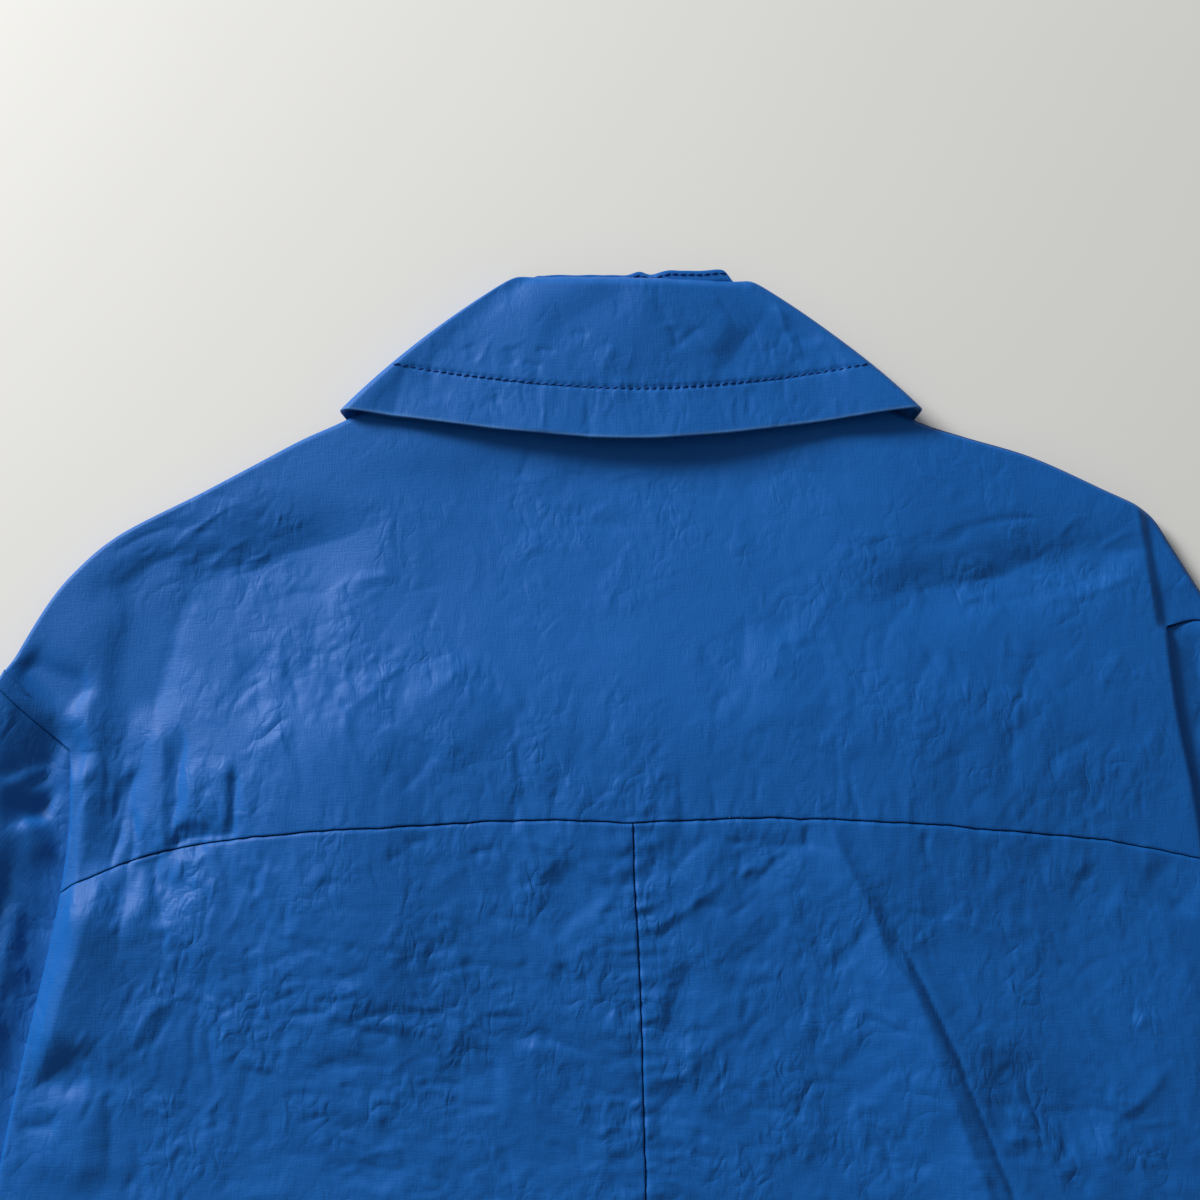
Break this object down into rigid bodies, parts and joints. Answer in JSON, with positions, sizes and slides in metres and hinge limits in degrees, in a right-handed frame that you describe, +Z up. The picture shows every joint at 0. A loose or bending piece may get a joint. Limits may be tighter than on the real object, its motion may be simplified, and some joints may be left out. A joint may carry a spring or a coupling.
{
  "type": "balmacaan coat",
  "caption": "Long coat laid flat, face down: turn-down collar, deep back yoke, centre back seam, set-in sleeves and hidden button front.",
  "frame": {"origin": "middle of the coat's outline, on the surface it lies on", "axes": "+Z up from the surface, towards the coat's back; +Y towards the collar; +X towards the wearer's right"},
  "size_m": [1.064, 1.032, 0.014],
  "materials": {
    "coat_cloth": "crisp plain-weave cloth, softly lustrous, finely creased",
    "coat_button": "satin"
  },
  "bodies": {
    "root": {"yoke": "coat_cloth", "back_left": "coat_cloth", "back_right": "coat_cloth", "front_left": "coat_cloth", "front_right": "coat_cloth", "sleeve_left": "coat_cloth", "sleeve_right": "coat_cloth", "collar_fall": "coat_cloth", "collar_stand": "coat_cloth", "fly_strip": "coat_cloth", "button_1": "coat_button", "button_2": "coat_button", "button_3": "coat_button", "button_4": "coat_button", "button_5": "coat_button"}
  },
  "joints": []
}
